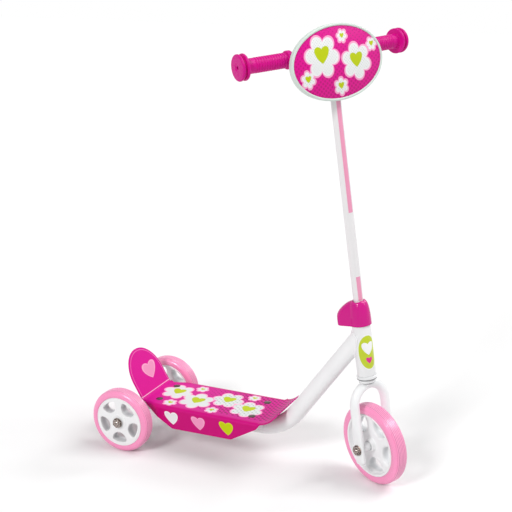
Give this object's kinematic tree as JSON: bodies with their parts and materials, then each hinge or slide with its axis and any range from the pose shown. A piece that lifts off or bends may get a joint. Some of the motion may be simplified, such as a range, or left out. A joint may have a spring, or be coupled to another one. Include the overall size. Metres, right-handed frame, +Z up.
{
  "type": "kids scooter",
  "caption": "Child's three wheel scooter: a folded sheet deck with kick plate on a bent tube, two small rear wheels, a steered front wheel, swept handlebar and an oval front plate.",
  "frame": {"origin": "centre of the bounding box on the ground, with the steering turned to the right as in the picture", "axes": "+X to the front of the scooter, +Y to the rider's left, +Z up"},
  "size_m": [0.5704, 0.3028, 0.7596],
  "materials": {
    "white_paint": "gloss white powder coat on steel tube",
    "magenta_paint": "satin magenta paint on folded steel sheet, printed with motifs",
    "white_moulding": "smooth white moulding",
    "tyre": "smooth pale pink soft tyre with fine lines round it",
    "grip": "soft magenta grip",
    "magenta_gloss": "glossy magenta moulding",
    "plate_print": "printed panel, magenta and white with dots",
    "grey_nylon": "pale grey nylon",
    "zinc_steel": "zinc plated"
  },
  "bodies": {
    "frame": {"frame_tube": "white_paint", "head_tube": "white_paint", "headset_cup_lower": "grey_nylon", "headset_cup_upper": "grey_nylon", "headset_cover": "magenta_gloss", "cover_tab": "white_paint", "cover_screw": "zinc_steel", "rear_axle_tube": "white_paint", "rear_axle": "zinc_steel", "rear_axle_nut_left": "zinc_steel", "rear_axle_nut_right": "zinc_steel", "deck_pan": "magenta_paint", "deck_bracket_front": "white_paint", "deck_bracket_rear": "white_paint", "deck_bolt_front_right": "zinc_steel", "deck_bolt_front_left": "zinc_steel", "deck_bolt_rear_right": "zinc_steel", "deck_bolt_rear_left": "zinc_steel", "deck_nut_front_right": "zinc_steel", "deck_nut_front_left": "zinc_steel", "deck_nut_rear_right": "zinc_steel", "deck_nut_rear_left": "zinc_steel"},
    "steering": {"fork": "white_paint", "steerer_tube": "white_paint", "crown_race": "zinc_steel", "front_spacer_left": "white_moulding", "front_spacer_right": "white_moulding", "front_axle": "zinc_steel", "front_axle_nut_left": "zinc_steel", "front_axle_nut_right": "zinc_steel", "steerer_collar": "zinc_steel", "stem_pin": "zinc_steel", "stem_tube": "white_paint", "handlebar": "white_paint", "grip_left": "grip", "grip_right": "grip", "plate_shell": "white_moulding", "plate_panel": "plate_print", "plate_clamp_right": "white_moulding", "plate_clamp_left": "white_moulding", "plate_screw_right_lower": "zinc_steel", "plate_screw_right_upper": "zinc_steel", "plate_screw_left_lower": "zinc_steel", "plate_screw_left_upper": "zinc_steel"},
    "front_wheel": {"front_wheel_tyre": "tyre", "front_wheel_rim": "white_moulding", "front_wheel_bush_outer": "grey_nylon", "front_wheel_bush_inner": "grey_nylon"},
    "rear_wheel_left": {"rear_wheel_left_tyre": "tyre", "rear_wheel_left_rim": "white_moulding", "rear_wheel_left_bush_outer": "grey_nylon", "rear_wheel_left_bush_inner": "grey_nylon"},
    "rear_wheel_right": {"rear_wheel_right_tyre": "tyre", "rear_wheel_right_rim": "white_moulding", "rear_wheel_right_bush_outer": "grey_nylon", "rear_wheel_right_bush_inner": "grey_nylon"}
  },
  "joints": [
    {"name": "steering", "type": "hinge", "parent": "frame", "child": "steering", "pos_m": [0.21981, -0.00722, 0.07024], "axis": [-0.1374, 0, 0.9905], "range_deg": [-16.7, 73.3]},
    {"name": "front_wheel_spin", "type": "hinge", "parent": "steering", "child": "front_wheel", "pos_m": [0.21981, -0.00722, 0.07024], "axis": [0.4696, 0.8805, 0.0652], "continuous": true},
    {"name": "rear_wheel_left_spin", "type": "hinge", "parent": "frame", "child": "rear_wheel_left", "pos_m": [-0.22719, 0.07678, 0.058], "axis": [0, 1, 0], "continuous": true},
    {"name": "rear_wheel_right_spin", "type": "hinge", "parent": "frame", "child": "rear_wheel_right", "pos_m": [-0.22719, -0.09122, 0.058], "axis": [0, 1, 0], "continuous": true}
  ]
}
